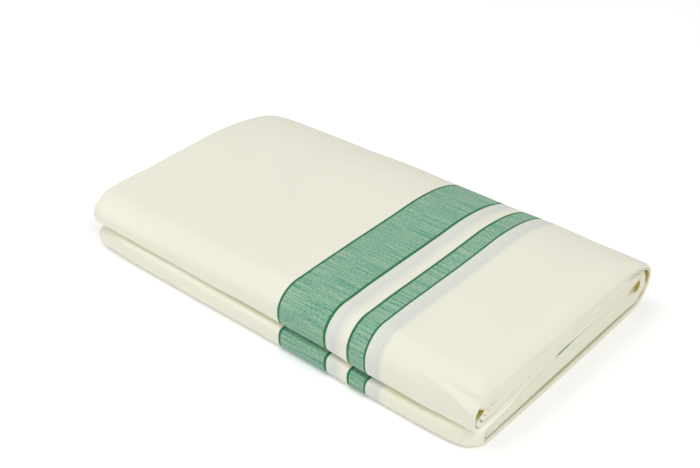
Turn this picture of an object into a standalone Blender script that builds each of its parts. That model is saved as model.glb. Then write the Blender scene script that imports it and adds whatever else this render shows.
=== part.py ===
"""A cotton dhoti cloth with a striped border, folded into a flat packet.

The cloth is folded lengthwise in four, wound flat and then folded in half, so the front
shows two round noses with a crease between them and the back shows one big fold.
+X runs along the packet's long side, to the end that stands open to the viewer. +Y runs
to the back fold and +Z up. The origin is in the middle of the underside. Sizes are in
metres.
"""

from collections import namedtuple
from math import acos, cos, pi, sin

import bmesh
import bpy

# The packet's driving sizes
LENGTH = 0.3175  # cloth 1.27 m wide, folded in four
DEPTH = 0.1935  # from the noses to the back fold's furthest corner
STRIP = 0.0023  # four plies of cotton
SEAM = 0.0003  # clearance between two nested pieces
SLIT = 0.0007  # between the upper and the lower half, from the crease inwards

# The noses at the front: how far each bows out, and how full its upper and lower halves
# are, as exponents of a superellipse, where 2 is round
UPPER_NOSE = 0.0178
LOWER_NOSE = 0.0062
UPPER_FULLNESS = (1.9, 4.6)
LOWER_FULLNESS = (2.2, 2.2)
UPPER_HOLLOW = 0.0034  # left inside each nose, where the outer strip turns loosely
LOWER_HOLLOW = 0.0012
HOLLOW_POWER = 6  # how sharply the hollow is drawn in at the nose's tip

# The fold at the back: its turn below and the layers' thickness
BACK_UNDER = 0.0200
BACK_LAYERS = 0.0165
BACK_MIDDLE = 0.48  # the height of its rearmost point, as a share of the packet's
EYE_RADIUS = 0.0011
CREASE_RISE = 0.0055  # how much the inner slit arches up between crease and back fold

# The folded edges at the two ends
END_SET_IN = 0.0012  # of the hidden layers, behind the outer strip's edge
LEAVES = 5  # bundles of layers that show, from the outer strip to the middle
LEAF_GROOVE = 0.0011
LOOSE_GROOVE = 0.0034  # where the outer bundles part from the inner ones
LOOSE_LEAF = 2  # the groove before this bundle, counted from the outside

# Points along a section
NOSE_POINTS = 9
ARM_POINTS = 9
TURN_POINTS = 12
RIM_POINTS = 3  # across a strip's rounded edge
WELD = 0.000002  # points nearer to each other than this are one

# The section at each station: the packet's height, the height of the crease at the front,
# how far the upper nose, the lower nose and the back fold stand back, and how far the fold
# falls on top before it turns
Station = namedtuple("Station", "x height crease upper lower back fall")
STATIONS = (
    Station(-0.15875, 0.0335, 0.0160, 0.0060, 0.0088, 0.0145, 0.070),
    Station(-0.15780, 0.0362, 0.0170, 0.0040, 0.0062, 0.0117, 0.074),
    Station(-0.15500, 0.0378, 0.0180, 0.0018, 0.0034, 0.0091, 0.078),
    Station(-0.15050, 0.0381, 0.0186, 0.0006, 0.0016, 0.0073, 0.078),
    Station(-0.14400, 0.0381, 0.0187, 0.0000, 0.0006, 0.0063, 0.074),
    Station(-0.11500, 0.0385, 0.0183, 0.0000, 0.0000, 0.0055, 0.068),
    Station(-0.07500, 0.0404, 0.0176, 0.0000, 0.0000, 0.0050, 0.066),
    Station(-0.03000, 0.0426, 0.0168, 0.0000, 0.0000, 0.0046, 0.066),
    Station(0.01440, 0.0442, 0.0163, 0.0000, 0.0000, 0.0045, 0.066),
    Station(0.05280, 0.0452, 0.0151, 0.0000, 0.0000, 0.0045, 0.066),
    Station(0.08300, 0.0460, 0.0143, 0.0000, 0.0000, 0.0046, 0.066),
    Station(0.11500, 0.0464, 0.0144, 0.0000, 0.0000, 0.0046, 0.066),
    Station(0.14000, 0.0463, 0.0146, 0.0000, 0.0006, 0.0042, 0.065),
    Station(0.15100, 0.0452, 0.0148, 0.0000, 0.0024, 0.0034, 0.061),
    Station(0.15600, 0.0430, 0.0150, 0.0002, 0.0058, 0.0020, 0.056),
    Station(0.15875, 0.0388, 0.0152, 0.0006, 0.0100, 0.0000, 0.050),
)

# The border's stripes on the outer strip: where each starts, and its colour
CREAM = (0.840, 0.820, 0.690)
DARK_GREEN = (0.020, 0.190, 0.070)
GREEN = (0.230, 0.450, 0.310)
GREY = (0.660, 0.690, 0.660)
Stripe = namedtuple("Stripe", "start colour")
STRIPES = (
    Stripe(-LENGTH / 2, CREAM),
    Stripe(0.0144, DARK_GREEN),
    Stripe(0.0156, GREEN),
    Stripe(0.0516, DARK_GREEN),
    Stripe(0.0528, GREY),
    Stripe(0.0612, CREAM),
    Stripe(0.0698, DARK_GREEN),
    Stripe(0.0710, GREEN),
    Stripe(0.0818, DARK_GREEN),
    Stripe(0.0830, GREY),
    Stripe(0.0966, CREAM),
)


def between(start, end, share):
    """The value, or the point, at a share of the way from start to end."""
    if isinstance(start, tuple):
        return tuple(between(a, b, share) for a, b in zip(start, end))
    return start + (end - start) * share


def station_at(x):
    """The section's sizes at any x, between the two stations next to it."""
    for first, second in zip(STATIONS, STATIONS[1:]):
        if x <= second.x:
            break
    share = (x - first.x) / (second.x - first.x)
    return Station(*(between(a, b, share) for a, b in zip(first, second)))


def top_height(station, y, rear):
    """The height of the top at y: level, then falling along an ellipse to the back."""
    fall = (y - (rear - station.fall)) / station.fall
    middle = BACK_MIDDLE * station.height
    if fall <= 0:
        return station.height
    return middle + (station.height - middle) * sin(acos(fall))


def slit_height(station, y, front, eye):
    """The height of the inner slit at y, between the crease and the eye of the back fold."""
    share = (y - front) / (eye[0] - front)
    return between(station.crease, eye[1], share) + CREASE_RISE * sin(pi * share)


def section(station):
    """Matching points of the outside and of the slit, from the upper nose to the lower."""
    front = -DEPTH / 2
    rear = DEPTH / 2 - station.back
    middle = BACK_MIDDLE * station.height
    eye = (rear - BACK_LAYERS, middle)
    upper_start = front + station.upper + UPPER_NOSE
    lower_start = front + station.lower + LOWER_NOSE
    outside, inside = [], []
    for k in range(ARM_POINTS):
        y = between(upper_start, eye[0], k / ARM_POINTS)
        outside.append((y, top_height(station, y, rear)))
        inside.append((y, slit_height(station, y, front, eye) + SLIT / 2))
    first = acos((eye[0] - rear + station.fall) / station.fall)
    for k in range(TURN_POINTS + 1):
        share = k / TURN_POINTS
        turn = between(first, -pi / 2, share)
        reach = station.fall if turn > 0 else BACK_UNDER
        rise = station.height - middle if turn > 0 else middle
        outside.append((rear - reach + reach * cos(turn), middle + rise * sin(turn)))
        turn = between(pi / 2, -pi / 2, share)
        inside.append((eye[0] + EYE_RADIUS * cos(turn), eye[1] + EYE_RADIUS * sin(turn)))
    for k in range(1, ARM_POINTS + 1):
        share = k / ARM_POINTS
        outside.append((between(rear - BACK_UNDER, lower_start, share), 0.0))
        y = between(eye[0], lower_start, share)
        inside.append((y, slit_height(station, y, front, eye) - SLIT / 2))
    return outside, inside


def nose(above, below, reach, fullness, depth, hollow):
    """Points round a nose from its lower to its upper side, at a depth inside it.

    It ends between the points above and below, and a hollow draws its tip back.
    """
    middle = between(above, below, 0.5)
    half = (above[1] - below[1]) / 2
    inner_reach = reach * (1 - depth / half)
    points = []
    for k in range(1, NOSE_POINTS):
        turn = between(-pi / 2, pi / 2, k / NOSE_POINTS)
        power = 2 / fullness[0 if turn > 0 else 1]
        bow = inner_reach * cos(turn) ** power - hollow * cos(turn) ** HOLLOW_POWER
        rise = (half - depth) * abs(sin(turn)) ** power
        points.append((middle[0] - bow, middle[1] + (rise if turn > 0 else -rise)))
    return points


def loop(station, depth, share=0.0, hollows=(0.0, 0.0)):
    """The closed loop at a depth inside the outline and a share of what is left there."""
    outside, inside = section(station)

    def in_from(start, end):
        whole = ((end[0] - start[0]) ** 2 + (end[1] - start[1]) ** 2) ** 0.5
        return between(start, end, between(depth / whole, 0.5, share))

    def nose_depth(start, end):
        half = abs(end[1] - start[1]) / 2
        return between(depth, half, share)

    outer = [in_from(a, b) for a, b in zip(outside, inside)]
    inner = [in_from(b, a) for a, b in zip(outside, inside)]
    upper_depth = nose_depth(outside[0], inside[0])
    lower_depth = nose_depth(outside[-1], inside[-1])
    hollows = [hollow * (1 - share) for hollow in hollows]
    upper = nose(outside[0], inside[0], UPPER_NOSE, UPPER_FULLNESS, upper_depth, hollows[0])
    lower = nose(inside[-1], outside[-1], LOWER_NOSE, LOWER_FULLNESS, lower_depth, hollows[1])
    return outer + lower + inner[::-1] + upper


def ring(shape, points, x):
    """A ring of vertices at one x."""
    return [shape.verts.new((x, y, z)) for y, z in points]


def bridge(shape, first, second):
    """Faces between two rings, turned outwards where x runs from first to second."""
    for k in range(len(first)):
        following = (k + 1) % len(first)
        shape.faces.new((first[k], second[k], second[following], first[following]))


def finished(shape, name, material, collection):
    """An object from the mesh in hand, shaded smooth, in the dhoti's collection."""
    bmesh.ops.remove_doubles(shape, verts=shape.verts, dist=WELD)
    bmesh.ops.recalc_face_normals(shape, faces=shape.faces)
    mesh = bpy.data.meshes.new(name)
    shape.to_mesh(mesh)
    shape.free()
    mesh.shade_smooth()
    mesh.materials.append(material)
    piece = bpy.data.objects.new(name, mesh)
    collection.objects.link(piece)
    return piece


def outer_strip(material, collection):
    """The strip that shows: a wall round the whole packet, open at both ends."""
    shape = bmesh.new()
    rim = STRIP / 2
    reach = LENGTH / 2 - rim
    places = [-reach] + [station.x for station in STATIONS if abs(station.x) < reach] + [reach]
    turns = [pi * k / (RIM_POINTS + 1) for k in range(1, RIM_POINTS + 1)]

    def rim_ring(side, turn):
        x = side * (reach + rim * sin(turn))
        return ring(shape, loop(station_at(x), rim * (1 - cos(turn))), x)

    rings = [ring(shape, loop(station_at(x), 0.0), x) for x in places]
    rings += [rim_ring(1, turn) for turn in turns]
    rings += [ring(shape, loop(station_at(x), STRIP), x) for x in reversed(places)]
    rings += [rim_ring(-1, turn) for turn in reversed(turns)]
    for first, second in zip(rings, rings[1:] + rings[:1]):
        bridge(shape, first, second)
    return finished(shape, "outer_strip", material, collection)


def hidden_layers(material, collection):
    """All the layers within, as one rounded solid whose ends show the bundles' edges."""
    shape = bmesh.new()
    depth = STRIP + SEAM
    hollows = (UPPER_HOLLOW, LOWER_HOLLOW)
    end = LENGTH / 2 - END_SET_IN

    def end_rings(side):
        rings = []
        for k in range(2 * LEAVES + 1):
            dip = 0.0 if k % 2 else LEAF_GROOVE
            if k == 2 * LOOSE_LEAF:
                dip = LOOSE_GROOVE
            x = side * (end - dip)
            station = station_at(side * end if k else x)
            rings.append(ring(shape, loop(station, depth, k / (2 * LEAVES), hollows), x))
        return rings

    rings = end_rings(-1)[::-1]
    for station in STATIONS:
        if abs(station.x) < end - LEAF_GROOVE:
            rings.append(ring(shape, loop(station, depth, 0.0, hollows), station.x))
    rings += end_rings(1)
    for first, second in zip(rings, rings[1:]):
        bridge(shape, first, second)
    return finished(shape, "hidden_layers", material, collection)


def plain_cotton(name):
    """Undyed cotton."""
    material = bpy.data.materials.new(name)
    material.use_nodes = True
    shader = material.node_tree.nodes["Principled BSDF"]
    shader.inputs["Base Color"].default_value = (*CREAM, 1.0)
    shader.inputs["Roughness"].default_value = 0.85
    shader.inputs["Metallic"].default_value = 0.0
    return material


def striped_cotton(name):
    """Undyed cotton with the border's stripes, which run along Y."""
    material = plain_cotton(name)
    nodes, links = material.node_tree.nodes, material.node_tree.links
    place = nodes.new("ShaderNodeTexCoord")
    along = nodes.new("ShaderNodeSeparateXYZ")
    share = nodes.new("ShaderNodeMapRange")
    share.inputs["From Min"].default_value = -LENGTH / 2
    share.inputs["From Max"].default_value = LENGTH / 2
    ramp = nodes.new("ShaderNodeValToRGB")
    ramp.color_ramp.interpolation = "CONSTANT"
    ramp.color_ramp.elements.remove(ramp.color_ramp.elements[1])
    ramp.color_ramp.elements[0].color = (*STRIPES[0].colour, 1.0)
    for stripe in STRIPES[1:]:
        stop = ramp.color_ramp.elements.new((stripe.start + LENGTH / 2) / LENGTH)
        stop.color = (*stripe.colour, 1.0)
    links.new(place.outputs["Object"], along.inputs[0])
    links.new(along.outputs["X"], share.inputs["Value"])
    links.new(share.outputs["Result"], ramp.inputs["Fac"])
    links.new(ramp.outputs["Color"], nodes["Principled BSDF"].inputs["Base Color"])
    return material


def main():
    for old in list(bpy.data.objects):
        bpy.data.objects.remove(old)
    collection = bpy.data.collections.new("folded_dhoti")
    bpy.context.scene.collection.children.link(collection)
    outer_strip(striped_cotton("striped_cotton"), collection)
    hidden_layers(plain_cotton("plain_cotton"), collection)


main()
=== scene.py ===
"""The looks of a folded dhoti cloth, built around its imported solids.

The cloth is a strip of four plies, wound flat and then folded in half. Its outer turn is
one shell. The turns within it are nested shells, made by Geometry Nodes. Lengths are in
metres.
"""

from collections import namedtuple
from math import pi, radians

import bpy
import numpy as np
from bpy.props import FloatProperty, FloatVectorProperty, IntProperty, PointerProperty
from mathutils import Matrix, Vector


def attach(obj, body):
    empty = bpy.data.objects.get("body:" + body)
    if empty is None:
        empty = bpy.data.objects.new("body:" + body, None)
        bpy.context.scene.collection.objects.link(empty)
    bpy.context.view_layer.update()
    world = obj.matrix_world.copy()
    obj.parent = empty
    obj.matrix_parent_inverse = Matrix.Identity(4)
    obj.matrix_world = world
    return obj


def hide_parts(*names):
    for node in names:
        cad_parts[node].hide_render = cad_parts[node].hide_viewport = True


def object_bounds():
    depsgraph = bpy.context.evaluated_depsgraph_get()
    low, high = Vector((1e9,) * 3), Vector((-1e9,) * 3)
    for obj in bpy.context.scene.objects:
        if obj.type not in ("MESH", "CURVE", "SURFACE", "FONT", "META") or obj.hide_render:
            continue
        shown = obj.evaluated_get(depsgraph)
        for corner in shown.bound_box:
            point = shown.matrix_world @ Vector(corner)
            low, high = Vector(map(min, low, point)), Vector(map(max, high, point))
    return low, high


bl_info = {
    "name": "Folded dhoti cloth",
    "version": (1, 0, 0),
    "blender": (4, 5, 0),
    "location": "View3D > Sidebar > Dhoti",
    "description": "Builds the outer turn, the inner turns and the border of a folded dhoti",
    "category": "Object",
}

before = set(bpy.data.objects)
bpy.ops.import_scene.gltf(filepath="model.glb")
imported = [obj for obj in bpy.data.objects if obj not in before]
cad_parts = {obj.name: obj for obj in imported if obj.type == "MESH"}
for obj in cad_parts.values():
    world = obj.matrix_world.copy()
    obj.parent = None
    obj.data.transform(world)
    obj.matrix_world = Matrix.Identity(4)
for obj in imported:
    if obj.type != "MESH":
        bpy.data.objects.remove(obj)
SOLID_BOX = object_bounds()
LENGTH = SOLID_BOX[1].x - SOLID_BOX[0].x

# The depth that the sections are drawn in, before their noses stand back
DEPTH = 0.1935
FRONT = -DEPTH / 2

# The noses at the front: how far each bows out, and how full its upper and lower halves
# are, as exponents of a superellipse, where 2 is round
UPPER_NOSE = 0.0178
LOWER_NOSE = 0.0062
UPPER_FULLNESS = (1.9, 3.4)
LOWER_FULLNESS = (3.4, 2.2)

# Towards the left end the noses turn rounder, and the lower one reaches further back
ROUND_FROM = -0.1200
ROUND_OVER = 0.0350
ROUND_FULLNESS = (2.6, 2.5)
ROUND_REACH = 0.0070

# The fold at the back, and the slit between the two halves of the packet
BACK_UNDER = 0.0200
BACK_LAYERS = 0.0185
BACK_MIDDLE = 0.48
SLIT = 0.00012
SLIT_RISE = 0.0062
EYE_TAPER = 0.009

# The section at each station: the packet's height, the height of the crease at the front,
# how far the upper nose, the lower nose and the back fold stand back, how far the fold
# falls on top before it turns, and the radius of the eye where the slit ends
Station = namedtuple("Station", "x height crease upper lower back fall eye")
STATIONS = (
    Station(-0.15875, 0.0335, 0.0095, 0.0062, 0.0094, 0.0145, 0.070, 0.0018),
    Station(-0.15780, 0.0362, 0.0115, 0.0042, 0.0066, 0.0117, 0.074, 0.0015),
    Station(-0.15500, 0.0378, 0.0140, 0.0018, 0.0036, 0.0091, 0.078, 0.0012),
    Station(-0.15050, 0.0381, 0.0155, 0.0006, 0.0016, 0.0073, 0.078, 0.0011),
    Station(-0.14400, 0.0381, 0.0160, 0.0000, 0.0006, 0.0063, 0.074, 0.0011),
    Station(-0.11500, 0.0385, 0.0170, 0.0000, 0.0000, 0.0055, 0.068, 0.0011),
    Station(-0.07500, 0.0404, 0.0170, 0.0000, 0.0000, 0.0050, 0.066, 0.0011),
    Station(-0.03000, 0.0426, 0.0160, 0.0000, 0.0000, 0.0046, 0.066, 0.0011),
    Station(0.01440, 0.0442, 0.0155, 0.0000, 0.0000, 0.0045, 0.066, 0.0011),
    Station(0.05280, 0.0452, 0.0150, 0.0000, 0.0000, 0.0045, 0.066, 0.0011),
    Station(0.08300, 0.0460, 0.0125, 0.0000, 0.0000, 0.0046, 0.066, 0.0011),
    Station(0.11500, 0.0464, 0.0120, 0.0000, 0.0000, 0.0046, 0.066, 0.0011),
    Station(0.14000, 0.0463, 0.0135, 0.0000, 0.0006, 0.0042, 0.065, 0.0012),
    Station(0.15100, 0.0452, 0.0140, 0.0000, 0.0024, 0.0034, 0.061, 0.0014),
    Station(0.15600, 0.0430, 0.0140, 0.0002, 0.0058, 0.0020, 0.056, 0.0016),
    Station(0.15875, 0.0388, 0.0140, 0.0006, 0.0100, 0.0000, 0.050, 0.0017),
)

# How loosely the inner turns lie round the loop: the gap's share of their depth at a part
# of it, and how far the edges within the gap stand back from the end that shows them.
# Parts: 0 to 1 the top, 1 to 2 the back fold, 2 to 3 the bottom, 3 to 4 the lower nose,
# 4 to 5 below the slit, 5 to 6 round its eye, 6 to 7 above it, 7 to 8 the upper nose
Slack = namedtuple("Slack", "part gap back")
SLACK = (
    Slack(0.00, 0.05, 0.0004),
    Slack(0.50, 0.04, 0.0003),
    Slack(0.90, 0.05, 0.0005),
    Slack(0.97, 0.22, 0.0016),
    Slack(1.05, 0.24, 0.0016),
    Slack(1.14, 0.13, 0.0008),
    Slack(1.28, 0.25, 0.0018),
    Slack(1.44, 0.22, 0.0014),
    Slack(1.56, 0.11, 0.0008),
    Slack(1.70, 0.17, 0.0010),
    Slack(1.85, 0.12, 0.0008),
    Slack(2.10, 0.13, 0.0008),
    Slack(2.60, 0.14, 0.0008),
    Slack(2.95, 0.12, 0.0008),
    Slack(3.50, 0.26, 0.0010),
    Slack(4.00, 0.04, 0.0004),
    Slack(5.50, 0.03, 0.0003),
    Slack(7.00, 0.03, 0.0003),
    Slack(7.42, 0.07, 0.0006),
    Slack(7.48, 0.42, 0.0008),
    Slack(7.54, 0.54, 0.0010),
    Slack(7.59, 0.44, 0.0010),
    Slack(7.64, 0.16, 0.0008),
    Slack(7.74, 0.09, 0.0006),
    Slack(7.86, 0.05, 0.0005),
    Slack(8.00, 0.05, 0.0004),
)

# Where round the loop the loose gap lies straight within the outer turn instead of after
# the loose turn, and how fully
LEAD_PARTS = (7.32, 7.40, 7.80, 7.90)
LEAD_SHARE = (0.0, 1.0, 1.0, 0.0)

# The rounded edge of the four plies: two folds side by side
Edge = namedtuple("Edge", "across out")
RIM = (
    Edge(0.03, 0.35),
    Edge(0.10, 0.75),
    Edge(0.24, 1.00),
    Edge(0.40, 0.96),
    Edge(0.50, 0.80),
    Edge(0.60, 0.96),
    Edge(0.76, 1.00),
    Edge(0.90, 0.75),
    Edge(0.97, 0.35),
)
RIM_REACH = 0.0006
END_BOW = 0.0010

# The creases: their width, how far they stand out at their start and end, and their path
Crease = namedtuple("Crease", "width start end path")
CREASES = (
    # The ridge and the trough beside it that run into the front corner
    Crease(
        0.0019,
        0.0010,
        0.0026,
        (
            (0.1220, -0.0940, 0.0392),
            (0.1330, -0.0950, 0.0382),
            (0.1443, -0.0958, 0.0363),
            (0.1523, -0.0963, 0.0340),
            (0.1585, -0.0963, 0.0318),
        ),
    ),
    Crease(
        0.0030,
        -0.0006,
        -0.0028,
        (
            (0.1330, -0.0932, 0.0403),
            (0.1430, -0.0934, 0.0397),
            (0.1515, -0.0931, 0.0387),
            (0.1580, -0.0926, 0.0375),
        ),
    ),
    # A faint dip on top, behind that corner
    Crease(
        0.0030,
        -0.0001,
        -0.0005,
        ((0.1280, -0.0700, 0.0460), (0.1420, -0.0690, 0.0460), (0.1580, -0.0685, 0.0420)),
    ),
    # The lower nose, by the same end
    Crease(
        0.0025,
        0.0,
        -0.0007,
        ((0.1400, -0.0960, 0.0095), (0.1500, -0.0920, 0.0100), (0.1585, -0.0880, 0.0110)),
    ),
    # The other end: on top, and twice on the upper nose
    Crease(
        0.0060,
        -0.0006,
        0.0,
        ((-0.1580, -0.0450, 0.0360), (-0.1460, -0.0300, 0.0380), (-0.1300, -0.0220, 0.0385)),
    ),
    Crease(
        0.0022,
        -0.0009,
        0.0,
        ((-0.1585, -0.0885, 0.0330), (-0.1530, -0.0915, 0.0345), (-0.1460, -0.0905, 0.0370)),
    ),
    Crease(
        0.0030,
        -0.0005,
        0.0,
        ((-0.1585, -0.0880, 0.0280), (-0.1500, -0.0940, 0.0270), (-0.1380, -0.0960, 0.0265)),
    ),
    # The back fold: by its two ends, and along its middle
    Crease(
        0.0040,
        -0.0007,
        0.0,
        ((0.1570, 0.0850, 0.0330), (0.1400, 0.0800, 0.0370), (0.1180, 0.0700, 0.0410)),
    ),
    Crease(
        0.0040,
        -0.0006,
        0.0,
        ((-0.1580, 0.0800, 0.0260), (-0.1400, 0.0870, 0.0240), (-0.1150, 0.0930, 0.0200)),
    ),
    Crease(
        0.0030,
        0.0004,
        0.0,
        ((0.0200, 0.0945, 0.0240), (0.0450, 0.0950, 0.0210), (0.0750, 0.0950, 0.0180)),
    ),
)

# The soft waves: their length each way, their start and their height, and the height up
# to which they fade towards the underside
Wave = namedtuple("Wave", "along across shift height")
WAVES = (
    Wave(0.110, 0.310, 0.15, 0.00022),
    Wave(0.290, 0.085, 0.60, 0.00018),
    Wave(0.061, -0.140, 0.35, 0.00012),
)
WAVE_FLOOR = 0.010

# The border's stripes on the outer turn: where each starts, its yarn and how much of it
# the undyed weft leaves to be seen
Stripe = namedtuple("Stripe", "start yarn cover")
STRIPES = (
    Stripe(0.0144, "dark", 0.98),
    Stripe(0.0164, "green", 0.78),
    Stripe(0.0510, "dark", 0.98),
    Stripe(0.0529, "grey", 0.66),
    Stripe(0.0570, "grey", 0.90),
    Stripe(0.0606, "grey", 0.62),
    Stripe(0.0622, "grey", 0.40),
    Stripe(0.0636, "grey", 0.18),
    Stripe(0.0648, "cream", 0.0),
    Stripe(0.0689, "dark", 0.98),
    Stripe(0.0707, "green", 0.78),
    Stripe(0.0814, "dark", 0.98),
    Stripe(0.0829, "grey", 0.66),
    Stripe(0.0862, "grey", 0.82),
    Stripe(0.0902, "grey", 0.98),
    Stripe(0.0921, "grey", 0.55),
    Stripe(0.0934, "grey", 0.25),
    Stripe(0.0946, "cream", 0.0),
)

# The stretch along x that holds the stripes, and how far they waver
BORDER = (0.0110, 0.0980)
WAVER = 0.0011

# The short length of border that shows within the slit at the end: the parts of the loop
# that have it, how deep it goes, how far across the wall, how much paler it is, and its
# strength from front to back
SLIT_PARTS = (4, 7)
PEEK_DEPTH = 0.0035
PEEK_ACROSS = 0.26
PEEK_TINT = 1.3
PEEK_Y = (-0.0150, -0.0138, -0.0030, 0.0030, 0.0090, 0.0190, 0.0230)
PEEK_SHARE = (0.0, 0.9, 0.8, 0.5, 0.22, 0.15, 0.0)

# Where round the loop the noses meet, and how much lighter the colour is painted there:
# painted light in the crease, standing in for light that comes through the plies
PAINTED_LIGHT_PARTS = (3.68, 3.84, 4.10, 4.20, 6.90, 7.00, 7.18, 7.31)
PAINTED_LIGHT_SHARE = (0.0, 1.0, 1.0, 0.0, 0.0, 1.0, 1.0, 0.0)
PAINTED_LIGHT = 0.22

# How the folded edges wander, and over what stretch at each end
WANDER_SCALE = 1.6
WANDER_TURN = 3.7
WANDER_SEED = 11.3
WANDER_MEAN = 0.5
EDGE_ZONE = 0.012

# The painted shade between the turns, an olive colour put where shade falls in the gaps:
# the slack over which it comes in, how fast it fades beside a gap, its share on a turn's
# edges, and on their two sides, and how narrow those are
PAINTED_SHADE_SLACK = (0.04, 0.26)
PAINTED_SHADE_POWER = 3.0
EDGE_PAINTED_SHADE = 0.03
SIDE_PAINTED_SHADE = 0.20
SIDE_POWER = 8.0

# Where the outer turn has that painted shade: the middle of the stretch round the loop, its
# reach each way and how much of that fades. The nook by the front has it on its inner face
Patch = namedtuple("Patch", "part reach fade")
EYE_PAINTED_SHADE = Patch(5.5, 0.58, 0.08)
NOOK_PAINTED_SHADE = Patch(7.54, 0.14, 0.05)
INNER_FACE = 0.9

# The unevenness of the yarns, the cloth and the border: its length round the loop, its
# length across the strip, and how many finer levels it has
Grain = namedtuple("Grain", "around across detail")
WEFT = Grain(0.0009, 0.030, 2.0)
WARP = Grain(0.025, 0.0006, 2.0)
CLOUD = Grain(0.035, 0.045, 3.0)
FLECK = Grain(0.0010, 0.0016, 1.0)
DRIFT = Grain(0.045, 1.0, 1.0)
CLOUD_TINT = (0.975, 1.025)

# How strongly the weft, the flecks and the weave vary the dyed stripes, the level that
# evens this out, and the most that the undyed weft shows
WEFT_PULL = 3.8
FLECK_PULL = 2.8
WEAVE_PULL = 0.4
HEATHER_LEVEL = -3.3
BARE_MOST = 0.22

# The yarns' relief beside the weave's, the bump that they make, and the cotton's finish
YARN_RELIEF = 0.6
BUMP_STRENGTH = 0.35
BUMP_DEPTH = 0.00012
COTTON_FINISH = {
    "Roughness": 0.88,
    "Specular IOR Level": 0.25,
    "Sheen Weight": 0.12,
    "Sheen Roughness": 0.5,
}

# The camera
CAMERA_PLACE = (0.44370, -0.53236, 0.50256)
CAMERA_YAW = 40.490
CAMERA_PITCH = 34.356
CAMERA_LENS = 66.379
CAMERA_CLIP = (0.05, 30.0)

# The floor and the three lamps
WHITE = (1.0, 1.0, 1.0, 1.0)
FLOOR_DROP = 0.0002
FLOOR_FINISH = {
    "Base Color": (0.95, 0.95, 0.95, 1.0),
    "Roughness": 0.9,
    "Emission Color": WHITE,
    "Emission Strength": 0.10,
}
LAMP_SIZE = 1.2
LAMP_PLACE = (1.40, -0.35, 1.55)
TOP_PLACE = (-0.60, -0.20, 1.45)
FRONT_PLACE = (-0.70, -1.00, 0.60)

# Points along a section: on an arm, round a fold and round a nose, how much finer a nose
# is drawn first, how many points of the outside there are to one in the slit, the part
# of the loop from which the cloth's length is measured, and a length that counts as none
ARM_POINTS = 60
TURN_POINTS = 34
NOSE_POINTS = 40
NOSE_FINER = 12
SLIT_STEP = 2
TOP_MIDDLE = 0.5
TINY = 1e-9

# The steps along x by the ends and between them, on each face, how far from the ends the
# short ones go, and how much of the creases the innermost turn has
END_ZONE = 0.012
OUTER_FACE_STEPS = (0.0006, 0.0018)
INNER_FACE_STEPS = (0.0012, 0.008)
TURN_OUTER_STEPS = (0.0016, 0.020)
TURN_INNER_STEPS = (0.0024, 0.030)
CORE_FOLLOW = 0.5


class ClothSizes(bpy.types.PropertyGroup):
    """The sizes of the wound strip."""

    strip: FloatProperty(
        name="Strip thickness", description="Four plies of cotton", default=0.0023, unit="LENGTH"
    )
    seam: FloatProperty(
        name="Seam", description="Clearance under the outer turn", default=0.0003, unit="LENGTH"
    )
    turns: IntProperty(name="Inner turns", description="Turns within the outer one", default=4)
    loose_turn: IntProperty(
        name="Loose turn", description="The inner turns before the loose gap", default=1
    )
    parting: FloatProperty(
        name="Parting", description="Gap between turns, as a share of a turn", default=0.05
    )
    uneven: FloatProperty(
        name="Unevenness",
        description="How far the folded edges wander",
        default=0.0006,
        unit="LENGTH",
    )
    seed: IntProperty(name="Seed", description="Picks how the edges wander", default=7)


class ClothColours(bpy.types.PropertyGroup):
    """The colours of the yarns, and of the painted shade between the turns."""

    cream: FloatVectorProperty(
        name="Cream", description="Undyed yarn", default=(0.765, 0.748, 0.630), subtype="COLOR"
    )
    green: FloatVectorProperty(
        name="Green", description="The bands' yarn", default=(0.050, 0.284, 0.166), subtype="COLOR"
    )
    dark: FloatVectorProperty(
        name="Dark green",
        description="The lines' yarn",
        default=(0.007, 0.150, 0.052),
        subtype="COLOR",
    )
    grey: FloatVectorProperty(
        name="Pale grey",
        description="The stripes' yarn",
        default=(0.620, 0.640, 0.605),
        subtype="COLOR",
    )
    # Painted shade: the colour that stands in for the shade deep between the turns
    hollow: FloatVectorProperty(
        name="Hollow",
        description="What shows deep between turns",
        default=(0.32, 0.255, 0.015),
        subtype="COLOR",
    )
    thread: FloatProperty(
        name="Thread pitch", description="From thread to thread", default=0.00045, unit="LENGTH"
    )


class StageSizes(bpy.types.PropertyGroup):
    """The floor's size and the strength of the lights."""

    floor: FloatProperty(name="Floor", description="The floor's side", default=12.0, unit="LENGTH")
    ambient: FloatProperty(name="Ambient", description="Strength of the even light", default=0.48)
    lamp: FloatProperty(name="Lamp", description="Power of the soft light", default=19.0, unit="POWER")
    top_lamp: FloatProperty(name="Top lamp", description="Power at the top", default=8.0, unit="POWER")
    front_lamp: FloatProperty(
        name="Front lamp", description="Power in front, low down", default=3.8, unit="POWER"
    )


def through(knots, values, x):
    """The height at x of a smooth curve that never swings past its values at the knots."""
    steps = np.diff(knots)
    slopes = np.diff(values) / steps
    pairs = slopes[:-1] * slopes[1:]
    sums = np.where(pairs > 0, slopes[:-1] + slopes[1:], 1.0)
    inner = np.where(pairs > 0, 2 * pairs / sums, 0.0)
    tangents = np.concatenate((slopes[:1], inner, slopes[-1:]))
    k = np.clip(np.searchsorted(knots, x) - 1, 0, len(steps) - 1)
    t = (x - knots[k]) / steps[k]
    bend = t * (1 - t) ** 2 * tangents[k] - t * t * (1 - t) * tangents[k + 1]
    return values[k] + (values[k + 1] - values[k]) * t * t * (3 - 2 * t) + steps[k] * bend


def station_at(x):
    """The section's sizes at any x."""
    columns = np.array(STATIONS).T
    return Station(x, *(through(columns[0], column, x) for column in columns[1:]))


def evenly(points, count):
    """The points between the two ends of a line, evenly spaced."""
    steps = np.hypot(*np.diff(points, axis=0).T)
    along = np.concatenate(([0.0], np.cumsum(steps)))
    places = np.linspace(0.0, along[-1], count + 1)[1:-1]
    return np.stack([np.interp(places, along, column) for column in points.T], 1)


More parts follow.
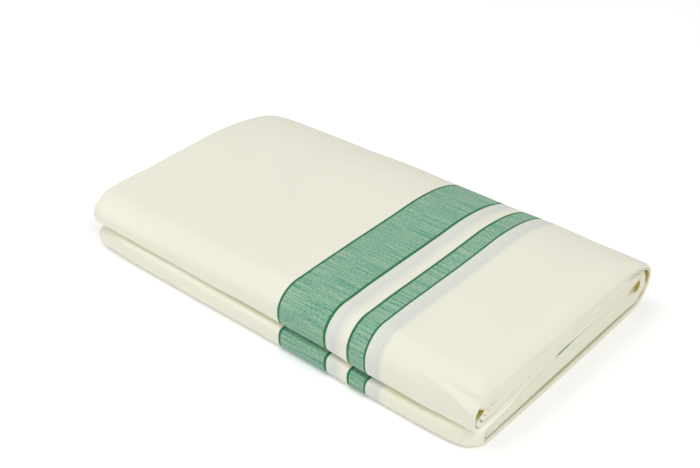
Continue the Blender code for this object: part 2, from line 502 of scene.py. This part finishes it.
def roundness(x):
    """How much rounder the noses are at that x, from 0 to 1."""
    share = np.clip((ROUND_FROM - x) / ROUND_OVER, 0, 1)
    return share * share * (3 - 2 * share)


def section(size):
    """Matching points of the outside and of the slit, from the upper nose to the lower."""
    rear = DEPTH / 2 - size.back
    middle = BACK_MIDDLE * size.height
    eye_y = rear - BACK_LAYERS
    arm = np.arange(ARM_POINTS) / ARM_POINTS
    share = np.arange(TURN_POINTS + 1) / TURN_POINTS
    upper_start = FRONT + size.upper + UPPER_NOSE

    def slit(y):
        along = np.clip((y - upper_start) / (eye_y - upper_start), 0, 1)
        widening = np.clip((y - eye_y) / EYE_TAPER + 1, 0, 1) ** 2
        half_gap = SLIT / 2 + (size.eye - SLIT / 2) * widening
        centre = size.crease + (middle - size.crease) * along + SLIT_RISE * np.sin(pi * along)
        return centre, half_gap

    y = upper_start + (eye_y - upper_start) * arm
    fall = np.clip((y - rear) / size.fall + 1, 0, 1)
    centre, half_gap = slit(y)
    outside = [np.stack((y, middle + (size.height - middle) * np.sqrt(1 - fall**2)), 1)]
    inside = [np.stack((y, centre + half_gap), 1)]

    first = np.arccos((eye_y - rear) / size.fall + 1)
    turn = first - (first + pi / 2) * share
    reach = np.where(turn > 0, size.fall, BACK_UNDER)
    rise = np.where(turn > 0, size.height - middle, middle)
    outside.append(np.stack((rear - reach * (1 - np.cos(turn)), middle + rise * np.sin(turn)), 1))
    turn = pi / 2 - pi * share
    inside.append(np.stack((eye_y + size.eye * np.cos(turn), middle + size.eye * np.sin(turn)), 1))

    lower_start = FRONT + size.lower + LOWER_NOSE + ROUND_REACH * roundness(size.x)
    arm = arm + 1 / ARM_POINTS
    below = rear - BACK_UNDER + (lower_start - rear + BACK_UNDER) * arm
    outside.append(np.stack((below, np.zeros(ARM_POINTS)), 1))
    y = eye_y + (lower_start - eye_y) * arm
    centre, half_gap = slit(y)
    inside.append(np.stack((y, centre - half_gap), 1))
    return np.concatenate(outside), np.concatenate(inside)


def nose(above, below, reach, fullness, depth, share):
    """Points round a nose from its lower to its upper side, at a depth inside it."""
    middle = (above + below) / 2
    half = (above[1] - below[1]) / 2
    turn = np.linspace(-pi / 2, pi / 2, NOSE_FINER * NOSE_POINTS + 1)
    power = np.where(turn > 0, 2 / fullness[0], 2 / fullness[1])
    bow = (reach - depth) * (1 - share) * np.abs(np.cos(turn)) ** power
    rise = (half - depth) * (1 - share) * np.sign(turn) * np.abs(np.sin(turn)) ** power
    return evenly(np.stack((middle[0] - bow, middle[1] + rise), 1), NOSE_POINTS)


def loop(size, depth, share):
    """The closed loop at a depth inside the outline and a share of what is left there.

    It starts and ends at the eye of the slit, and runs above it, round the upper nose,
    back along the top and forwards along the bottom.
    """
    outside, inside = section(size)
    whole = np.hypot(*(inside - outside).T)[:, None]
    step = depth / whole
    step = step + (0.5 - step) * share
    outer = outside + (inside - outside) * step
    inner = (inside + (outside - inside) * step)[::-1][::SLIT_STEP]
    rounder = roundness(size.x)
    reach = LOWER_NOSE + ROUND_REACH * rounder
    fullness = LOWER_FULLNESS[0] + (ROUND_FULLNESS[1] - LOWER_FULLNESS[0]) * rounder
    lower = nose(inside[-1], outside[-1], reach, (fullness, LOWER_FULLNESS[1]), depth, share)
    fullness = UPPER_FULLNESS[1] + (ROUND_FULLNESS[0] - UPPER_FULLNESS[1]) * rounder
    upper = nose(outside[0], inside[0], UPPER_NOSE, (UPPER_FULLNESS[0], fullness), depth, share)
    half = len(inner) // 2
    return np.concatenate((inner[half:], upper, outer, lower, inner[:half]))


def loop_parts():
    """The part of the loop that each of its points lies in, from 0 to 8."""
    arm = np.arange(ARM_POINTS) / ARM_POINTS
    turn = 1 + np.arange(TURN_POINTS + 1) / TURN_POINTS
    outer = np.concatenate((arm, turn, 3 - arm[::-1]))
    inner = (7 - outer[::-1])[::SLIT_STEP]
    nose_part = np.arange(1, NOSE_POINTS) / NOSE_POINTS
    half = len(inner) // 2
    return np.concatenate((inner[half:], 7 + nose_part, outer, 3 + nose_part, inner[:half]))


def patched(parts, patch):
    """How strongly each part of the loop lies in a patch, from 0 to 1."""
    return np.clip((patch.reach - np.abs(parts - patch.part)) / patch.fade, 0, 1)


def outward(points):
    """The outward direction at each point of a closed loop."""
    tangent = np.roll(points, -1, 0) - np.roll(points, 1, 0)
    normal = np.stack((-tangent[:, 1], tangent[:, 0]), 1)
    return normal / np.maximum(np.hypot(*normal.T), TINY)[:, None]


def crease_height(points):
    """How far the creases and the cloth's soft waves move each point outwards."""
    height = np.zeros(points.shape[:-1])
    for crease in CREASES:
        path = np.array(crease.path)
        lengths = np.linalg.norm(np.diff(path, axis=0), axis=1)
        before = np.concatenate(([0.0], np.cumsum(lengths)))
        nearest = np.full(height.shape, np.inf)
        along = np.zeros(height.shape)
        for start, end, length, base in zip(path, path[1:], lengths, before):
            step = np.clip((points - start) @ (end - start) / length**2, 0, 1)
            distance = np.linalg.norm(points - start - step[..., None] * (end - start), axis=-1)
            closer = distance < nearest
            nearest = np.where(closer, distance, nearest)
            along = np.where(closer, (base + step * length) / before[-1], along)
        rise = crease.start + (crease.end - crease.start) * along
        height += rise * np.exp(-((nearest / crease.width) ** 2))
    for wave in WAVES:
        phase = points[..., 0] / wave.along + points[..., 1] / wave.across + wave.shift
        height += wave.height * np.sin(2 * pi * phase) * np.clip(points[..., 2] / WAVE_FLOOR, 0, 1)
    return height


def places(fine, coarse):
    """Places from end to end, a fine step apart by the ends and a coarse one between."""
    reach = LENGTH / 2 - RIM_REACH
    near = np.linspace(0, END_ZONE, round(END_ZONE / fine), endpoint=False)
    middle = np.linspace(END_ZONE - reach, reach - END_ZONE, round(2 * (reach - END_ZONE) / coarse))
    return np.concatenate((near - reach, middle, reach - near[::-1]))


def wall_places(outer, inner):
    """Each ring's x and how far it lies across the wall: out, round an edge, in and back."""
    rim = [(LENGTH / 2 - RIM_REACH * (1 - edge.out), edge.across) for edge in RIM]
    back = [(-x, across) for x, across in reversed(rim)]
    return [(x, 0.0) for x in outer] + rim + [(x, 1.0) for x in inner[::-1]] + back


def placed(x, points, follow=1.0):
    """A loop's points in space, creased, none under its lowest, and its ends bowed a little."""
    flat = np.column_stack((np.full(len(points), x), points))
    height = crease_height(flat)[:, None] * follow
    flat[:, 1:] += outward(points) * height
    flat[:, 2] = np.maximum(flat[:, 2], points[:, 1].min())
    bow = END_BOW * (1 - (flat[:, 1] / DEPTH * 2) ** 2)
    flat[:, 0] += bow * (x / LENGTH * 2) ** 3
    return flat


def lengths_round(rings):
    """The length along each ring from the top's middle to each of its points."""
    steps = np.linalg.norm(np.roll(rings, -1, 1) - rings, axis=2)
    along = np.concatenate((np.zeros((len(rings), 1)), np.cumsum(steps, 1)), 1)
    origin = int(np.argmin(np.abs(loop_parts() - TOP_MIDDLE)))
    return along - along[:, origin : origin + 1]


def shell(name, rings):
    """A closed shell through rings of points, with the cloth's own lengths as its UVs."""
    count, points = rings.shape[:2]
    index = np.arange(count * points).reshape(count, points)
    ahead = np.roll(index, -1, 0)
    corners = (index, ahead, np.roll(ahead, -1, 1), np.roll(index, -1, 1))
    mesh = bpy.data.meshes.new(name)
    mesh.from_pydata(rings.reshape(-1, 3), [], np.stack(corners, -1).reshape(-1, 4))
    round_ring = lengths_round(rings)
    next_ring = np.roll(round_ring, -1, 0)
    across = (round_ring[:, :-1], next_ring[:, :-1], next_ring[:, 1:], round_ring[:, 1:])
    x = rings[:, :, 0]
    next_x = np.roll(x, -1, 0)
    along = (x, next_x, np.roll(next_x, -1, 1), np.roll(x, -1, 1))
    uv = np.stack((np.stack(across, -1), np.stack(along, -1)), -1)
    layer = mesh.uv_layers.new(name="UVMap")
    layer.data.foreach_set("uv", uv.astype(np.float32).ravel())
    mesh.shade_smooth()
    piece = bpy.data.objects.new(name, mesh)
    bpy.context.scene.collection.objects.link(piece)
    return piece


def dressed(piece, material, node):
    """The piece with its material, riding with the packet in place of a solid."""
    piece.data.materials.clear()
    piece.data.materials.append(material)
    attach(piece, "root")
    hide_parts(node)


def add(tree, kind, *values, **settings):
    """A node with its settings, whose inputs in turn take a value, a node or a socket."""
    node = tree.nodes.new(kind)
    for name, value in settings.items():
        setattr(node, name, value)
    for socket, value in zip(node.inputs, values):
        put(tree, socket, value)
    return node


def put(tree, socket, value):
    """Gives an input a value, or links a node's first output or a socket to it."""
    if isinstance(value, bpy.types.Node):
        value = value.outputs[0]
    if isinstance(value, bpy.types.NodeSocket):
        tree.links.new(value, socket)
    elif value is not None:
        socket.default_value = value


def maths(tree, operation, *values):
    """A sum of that kind on numbers, nodes or sockets."""
    return add(tree, "ShaderNodeMath", *values, operation=operation)


def mixed(tree, share, first, second, kind="RGBA"):
    """What lies a share of the way from the first colour, vector or number to the second."""
    node = add(tree, "ShaderNodeMix", data_type=kind)
    start, end, result = {"RGBA": (6, 7, 2), "VECTOR": (4, 5, 1), "FLOAT": (2, 3, 0)}[kind]
    put(tree, node.inputs[0], share)
    put(tree, node.inputs[start], first)
    put(tree, node.inputs[end], second)
    return node.outputs[result]


def stored(tree, name, kind="FLOAT"):
    """A value that the mesh holds at its points."""
    node = add(tree, "GeometryNodeInputNamedAttribute", data_type=kind)
    node.inputs["Name"].default_value = name
    return node


def turns_tree():
    """Nodes that nest copies of one turn inside each other, with wandering edges."""
    tree = bpy.data.node_groups.new("Inner turns", "GeometryNodeTree")
    for name, kind in (
        ("Geometry", "Geometry"),
        ("Turns", "Int"),
        ("Loose turn", "Int"),
        ("Parting", "Float"),
        ("Unevenness", "Float"),
        ("Seed", "Int"),
        ("Cloth", "Material"),
    ):
        tree.interface.new_socket(name, in_out="INPUT", socket_type="NodeSocket" + kind)
    tree.interface.new_socket("Geometry", in_out="OUTPUT", socket_type="NodeSocketGeometry")
    given = add(tree, "NodeGroupInput").outputs

    instance = add(tree, "GeometryNodeGeometryToInstance", given["Geometry"])
    copies = add(tree, "GeometryNodeDuplicateElements", domain="INSTANCE")
    put(tree, copies.inputs["Geometry"], instance)
    put(tree, copies.inputs["Amount"], given["Turns"])
    numbered = add(tree, "GeometryNodeStoreNamedAttribute", domain="INSTANCE")
    numbered.inputs["Name"].default_value = "turn"
    put(tree, numbered.inputs["Geometry"], copies.outputs["Geometry"])
    put(tree, numbered.inputs["Value"], copies.outputs["Duplicate Index"])
    real = add(tree, "GeometryNodeRealizeInstances", numbered)

    turn = stored(tree, "turn")
    slack = stored(tree, "slack")
    inset = maths(tree, "MULTIPLY", given["Parting"], 0.5)
    fill = maths(tree, "SUBTRACT", 1.0, given["Parting"])
    across = maths(tree, "MULTIPLY_ADD", stored(tree, "across"), fill, inset)
    even = maths(tree, "DIVIDE", maths(tree, "ADD", turn, across), given["Turns"])
    outer_share = maths(tree, "MULTIPLY", even, maths(tree, "SUBTRACT", 1.0, slack))
    inner_share = mixed(tree, slack, even, 1.0, "FLOAT")
    within = maths(tree, "GREATER_THAN", maths(tree, "ADD", turn, 0.5), given["Loose turn"])
    lead = stored(tree, "lead")
    within = maths(tree, "MAXIMUM", within, lead)
    share = mixed(tree, within, outer_share, inner_share, "FLOAT")
    outer = stored(tree, "outer", "FLOAT_VECTOR")
    place = mixed(tree, share, outer, stored(tree, "core", "FLOAT_VECTOR"), "VECTOR")

    seed = maths(tree, "MULTIPLY", given["Seed"], WANDER_SEED)
    row = maths(tree, "MULTIPLY_ADD", turn, WANDER_TURN, seed)
    edge = stored(tree, "edge")
    spot = add(tree, "ShaderNodeCombineXYZ", stored(tree, "around"), row, edge)
    noise = add(tree, "ShaderNodeTexNoise", spot, None, WANDER_SCALE, 1.0)
    wander = maths(tree, "MULTIPLY", maths(tree, "SUBTRACT", noise, WANDER_MEAN), edge)
    wander = maths(tree, "MULTIPLY", wander, given["Unevenness"])
    back = maths(tree, "MULTIPLY", maths(tree, "MULTIPLY", stored(tree, "back"), edge), within)
    wander = maths(tree, "SUBTRACT", wander, back)
    # Painted shade, kept at the points: darker beside the loose gap where the slack is wide
    start = maths(tree, "MULTIPLY", given["Loose turn"], maths(tree, "SUBTRACT", 1.0, lead))
    beside = maths(tree, "SUBTRACT", maths(tree, "ADD", turn, stored(tree, "across")), start)
    beside = maths(tree, "ABSOLUTE", beside)
    beside = add(tree, "ShaderNodeMapRange", beside, 0.0, 1.0, 1.0, 0.0)
    wide = add(tree, "ShaderNodeMapRange", slack, PAINTED_SHADE_SLACK[0], PAINTED_SHADE_SLACK[1], 0.0, 1.0)
    hollow = add(tree, "GeometryNodeStoreNamedAttribute", domain="POINT")
    hollow.inputs["Name"].default_value = "hollow"
    put(tree, hollow.inputs["Geometry"], real)
    deep = maths(tree, "MULTIPLY", maths(tree, "POWER", beside, PAINTED_SHADE_POWER), wide)
    # Painted shade on the turns' edges at the ends, stronger on their two sides where the turns meet
    side = maths(tree, "MULTIPLY", maths(tree, "SUBTRACT", stored(tree, "across"), 0.5), 2.0)
    side = maths(tree, "POWER", side, SIDE_POWER)
    tint = maths(tree, "MULTIPLY_ADD", side, SIDE_PAINTED_SHADE, EDGE_PAINTED_SHADE)
    painted_rim_shade = maths(tree, "MULTIPLY", maths(tree, "ABSOLUTE", edge), tint)
    put(tree, hollow.inputs["Value"], maths(tree, "MAXIMUM", deep, painted_rim_shade))
    moved = add(tree, "GeometryNodeSetPosition")
    put(tree, moved.inputs["Geometry"], hollow)
    put(tree, moved.inputs["Position"], place)
    put(tree, moved.inputs["Offset"], add(tree, "ShaderNodeCombineXYZ", wander, 0.0, 0.0))
    whole = add(tree, "GeometryNodeRealizeInstances", moved)
    finished = add(tree, "GeometryNodeSetMaterial")
    put(tree, finished.inputs["Geometry"], whole)
    put(tree, finished.inputs["Material"], given["Cloth"])
    add(tree, "NodeGroupOutput", finished)
    return tree


def made_plain(piece, tree, values):
    """The plain mesh that a tree of nodes makes of a piece, in the piece's place."""
    modifier = piece.modifiers.new(tree.name, "NODES")
    modifier.node_group = tree
    for item in tree.interface.items_tree:
        if item.in_out == "INPUT" and item.name in values:
            modifier[item.identifier] = values[item.name]
    graph = bpy.context.evaluated_depsgraph_get()
    mesh = bpy.data.meshes.new_from_object(piece.evaluated_get(graph))
    name = piece.name
    bpy.data.objects.remove(piece)
    mesh.name = name
    mesh.shade_smooth()
    made = bpy.data.objects.new(name, mesh)
    bpy.context.scene.collection.objects.link(made)
    return made


def store(mesh, name, values, kind="FLOAT"):
    """Keeps one number or vector for each point of a mesh."""
    layer = mesh.attributes.new(name, kind, "POINT")
    field = "vector" if kind == "FLOAT_VECTOR" else "value"
    layer.data.foreach_set(field, np.ascontiguousarray(values, np.float32).ravel())


def tinted(colour, factor=1.0):
    """A colour with its alpha, made lighter or darker."""
    return (*(part * factor for part in colour), 1.0)


def give(node, values):
    """Gives the named inputs of a node their values."""
    for name, value in values.items():
        node.inputs[name].default_value = value


def cotton(name, colours, striped=False):
    """Plain-weave cotton, with or without the border's stripes."""
    material = bpy.data.materials.new(name)
    material.use_nodes = True
    tree = material.node_tree
    shader = tree.nodes["Principled BSDF"]
    lengths = add(tree, "ShaderNodeUVMap", uv_map="UVMap")
    split = add(tree, "ShaderNodeSeparateXYZ", lengths)

    def threads(place):
        return maths(tree, "SINE", maths(tree, "MULTIPLY", place, pi / colours.thread))

    def uneven(grain):
        scale = (1 / grain.around, 1 / grain.across, 1.0)
        spot = add(tree, "ShaderNodeVectorMath", lengths, scale, operation="MULTIPLY")
        return add(tree, "ShaderNodeTexNoise", spot, None, 1.0, grain.detail)

    def kept(name):
        return add(tree, "ShaderNodeAttribute", attribute_name=name).outputs["Fac"]

    over = maths(tree, "MULTIPLY", threads(split.outputs[0]), threads(split.outputs[1]))
    weft = uneven(WEFT)
    warp = uneven(WARP)
    cloud = uneven(CLOUD)
    cream = mixed(tree, cloud, *(tinted(colours.cream, tint) for tint in CLOUD_TINT))
    colour = cream
    if striped:
        place = add(tree, "ShaderNodeTexCoord").outputs["Object"]
        x = add(tree, "ShaderNodeSeparateXYZ", place)
        waver = uneven(DRIFT)
        x = maths(tree, "ADD", x, maths(tree, "MULTIPLY_ADD", waver, WAVER, -WAVER / 2))
        share = add(tree, "ShaderNodeMapRange", x, *BORDER, 0.0, 1.0)
        ramp = add(tree, "ShaderNodeValToRGB", share)
        ramp.color_ramp.interpolation = "CONSTANT"
        ramp.color_ramp.elements.remove(ramp.color_ramp.elements[1])
        ramp.color_ramp.elements[0].color = (*colours.cream, 0.0)
        for stripe in STRIPES:
            along = (stripe.start - BORDER[0]) / (BORDER[1] - BORDER[0])
            stop = ramp.color_ramp.elements.new(along)
            stop.color = (*getattr(colours, stripe.yarn), stripe.cover)
        cover = ramp.outputs["Alpha"]
        heather = maths(tree, "MULTIPLY_ADD", uneven(FLECK), FLECK_PULL, HEATHER_LEVEL)
        heather = maths(tree, "MULTIPLY_ADD", weft, WEFT_PULL, heather)
        heather = maths(tree, "MULTIPLY_ADD", over, WEAVE_PULL, heather)
        bare = maths(tree, "MINIMUM", maths(tree, "SUBTRACT", 1.0, cover), BARE_MOST)
        shown = maths(tree, "MULTIPLY_ADD", heather, bare, cover)
        colour = mixed(tree, shown, cream, ramp)
        colour = mixed(tree, kept("peek"), colour, tinted(colours.dark, PEEK_TINT))
        # Painted light: the colour is made lighter where the noses meet
        lift = maths(tree, "MULTIPLY_ADD", kept("lift"), PAINTED_LIGHT, 1.0)
        colour = add(tree, "ShaderNodeVectorMath", colour, None, None, lift, operation="SCALE")
    # Painted shade: the colour goes towards the olive shade colour in the gaps, on the turns' edges
    # and round the slit's eye
    colour = mixed(tree, kept("hollow"), colour, tinted(colours.hollow))
    height = maths(tree, "MULTIPLY_ADD", warp, YARN_RELIEF, over)
    height = maths(tree, "MULTIPLY_ADD", weft, YARN_RELIEF, height)
    bump = add(tree, "ShaderNodeBump")
    give(bump, {"Strength": BUMP_STRENGTH, "Distance": BUMP_DEPTH})
    put(tree, bump.inputs["Height"], height)
    put(tree, shader.inputs["Base Color"], colour)
    put(tree, shader.inputs["Normal"], bump)
    give(shader, COTTON_FINISH)
    return material


class DHOTI_OT_outer_turn(bpy.types.Operator):
    """Builds the turn of the strip that shows, with the border and the creases."""

    bl_idname = "dhoti.outer_turn"
    bl_label = "Outer turn"

    def execute(self, context):
        sizes = context.scene.dhoti_sizes
        walls = wall_places(places(*OUTER_FACE_STEPS), places(*INNER_FACE_STEPS))
        loops = [(x, loop(station_at(x), sizes.strip * across, 0.0)) for x, across in walls]
        rings = np.array([placed(x, points) for x, points in loops])
        piece = shell("outer_turn", rings)
        parts = loop_parts()
        x, across = np.array(walls).T
        # Painted shade round the slit's eye and in the nook by the front, near the ends
        ends = np.clip((np.abs(x) - LENGTH / 2) / EDGE_ZONE + 1, 0, 1)
        eye = np.outer(ends, patched(parts, EYE_PAINTED_SHADE))
        nook = np.outer(ends * (across > INNER_FACE), patched(parts, NOOK_PAINTED_SHADE))
        store(piece.data, "hollow", eye + nook)
        # Painted light where the noses meet
        lift = np.interp(parts, PAINTED_LIGHT_PARTS, PAINTED_LIGHT_SHARE)
        store(piece.data, "lift", np.tile(lift, len(x)))
        shows = (x > LENGTH / 2 - PEEK_DEPTH) & (across < PEEK_ACROSS)
        within = (parts > SLIT_PARTS[0]) & (parts < SLIT_PARTS[1])
        strength = np.interp(rings[:, :, 1], PEEK_Y, PEEK_SHARE)
        store(piece.data, "peek", np.outer(shows, within) * strength)
        material = cotton("striped_cotton", context.scene.dhoti_colours, striped=True)
        dressed(piece, material, "outer_strip")
        return {"FINISHED"}


class DHOTI_OT_inner_turns(bpy.types.Operator):
    """Builds the turns within, nested by Geometry Nodes."""

    bl_idname = "dhoti.inner_turns"
    bl_label = "Inner turns"

    def execute(self, context):
        sizes = context.scene.dhoti_sizes
        walls = wall_places(places(*TURN_OUTER_STEPS), places(*TURN_INNER_STEPS))
        depth = sizes.strip + sizes.seam
        outer, core = (
            np.array([placed(x, loop(station_at(x), depth, share), follow) for x, _ in walls])
            for share, follow in ((0.0, 1.0), (1.0, CORE_FOLLOW))
        )
        piece = shell("inner_turns", outer)
        parts = loop_parts()
        part, gap, back = np.array(SLACK).T
        x, across = np.array(walls).T
        edge = np.sign(x) * np.clip(1 - (LENGTH / 2 - np.abs(x)) / EDGE_ZONE, 0, 1)
        mesh = piece.data
        store(mesh, "outer", outer, "FLOAT_VECTOR")
        store(mesh, "core", core, "FLOAT_VECTOR")
        store(mesh, "across", np.repeat(across, len(parts)))
        store(mesh, "edge", np.repeat(edge, len(parts)))
        store(mesh, "slack", np.tile(through(part, gap, parts), len(x)))
        store(mesh, "back", np.tile(through(part, back, parts), len(x)))
        store(mesh, "lead", np.tile(np.interp(parts, LEAD_PARTS, LEAD_SHARE), len(x)))
        store(mesh, "around", np.tile(parts, len(x)))
        material = cotton("plain_cotton", context.scene.dhoti_colours)
        values = {
            "Turns": sizes.turns,
            "Loose turn": sizes.loose_turn,
            "Parting": sizes.parting,
            "Unevenness": sizes.uneven,
            "Seed": sizes.seed,
            "Cloth": material,
        }
        piece = made_plain(piece, turns_tree(), values)
        dressed(piece, material, "hidden_layers")
        return {"FINISHED"}


class DHOTI_OT_stage(bpy.types.Operator):
    """Sets the pale floor, the soft light and the camera."""

    bl_idname = "dhoti.stage"
    bl_label = "Stage"

    def execute(self, context):
        sizes = context.scene.dhoti_stage
        half = sizes.floor / 2
        mesh = bpy.data.meshes.new("floor")
        corners = ((-half, -half), (half, -half), (half, half), (-half, half))
        mesh.from_pydata([(*corner, -FLOOR_DROP) for corner in corners], [], [(0, 1, 2, 3)])
        floor = bpy.data.objects.new("floor", mesh)
        context.scene.collection.objects.link(floor)
        paint = bpy.data.materials.new("pale_floor")
        paint.use_nodes = True
        give(paint.node_tree.nodes["Principled BSDF"], FLOOR_FINISH)
        mesh.materials.append(paint)

        world = bpy.data.worlds.new("even_light")
        world.use_nodes = True
        background = world.node_tree.nodes["Background"]
        give(background, {"Strength": sizes.ambient, "Color": WHITE})
        context.scene.world = world
        for name, place, power in (
            ("soft_lamp", LAMP_PLACE, sizes.lamp),
            ("top_lamp", TOP_PLACE, sizes.top_lamp),
            ("front_lamp", FRONT_PLACE, sizes.front_lamp),
        ):
            lamp = bpy.data.lights.new(name, "AREA")
            lamp.size = LAMP_SIZE
            lamp.energy = power
            light = bpy.data.objects.new(name, lamp)
            light.location = place
            light.rotation_euler = (-Vector(place)).to_track_quat("-Z", "Y").to_euler()
            context.scene.collection.objects.link(light)

        lens = bpy.data.cameras.new("camera")
        lens.lens = CAMERA_LENS
        lens.clip_start, lens.clip_end = CAMERA_CLIP
        camera = bpy.data.objects.new("camera", lens)
        camera.location = CAMERA_PLACE
        camera.rotation_euler = (radians(90 - CAMERA_PITCH), 0.0, radians(CAMERA_YAW))
        context.scene.collection.objects.link(camera)
        context.scene.camera = camera
        context.scene.view_settings.view_transform = "Standard"
        return {"FINISHED"}


class DHOTI_PT_panel(bpy.types.Panel):
    """Lists the pieces of the folded dhoti and their sizes."""

    bl_idname = "DHOTI_PT_panel"
    bl_label = "Folded dhoti"
    bl_space_type = "VIEW_3D"
    bl_region_type = "UI"
    bl_category = "Dhoti"

    def draw(self, context):
        for name, group in GROUPS.items():
            for field in group.__annotations__:
                self.layout.prop(getattr(context.scene, name), field)
        for operator in OPERATORS:
            self.layout.operator(operator.bl_idname)


GROUPS = {"dhoti_sizes": ClothSizes, "dhoti_colours": ClothColours, "dhoti_stage": StageSizes}
OPERATORS = (DHOTI_OT_stage, DHOTI_OT_outer_turn, DHOTI_OT_inner_turns)


def register():
    for piece in (*GROUPS.values(), *OPERATORS, DHOTI_PT_panel):
        bpy.utils.register_class(piece)
    for name, group in GROUPS.items():
        setattr(bpy.types.Scene, name, PointerProperty(type=group))


def unregister():
    for name in GROUPS:
        delattr(bpy.types.Scene, name)
    for piece in (DHOTI_PT_panel, *OPERATORS, *GROUPS.values()):
        bpy.utils.unregister_class(piece)


def main():
    register()
    bpy.ops.dhoti.stage()
    bpy.ops.dhoti.outer_turn()
    bpy.ops.dhoti.inner_turns()


if __name__ == "__main__":
    main()
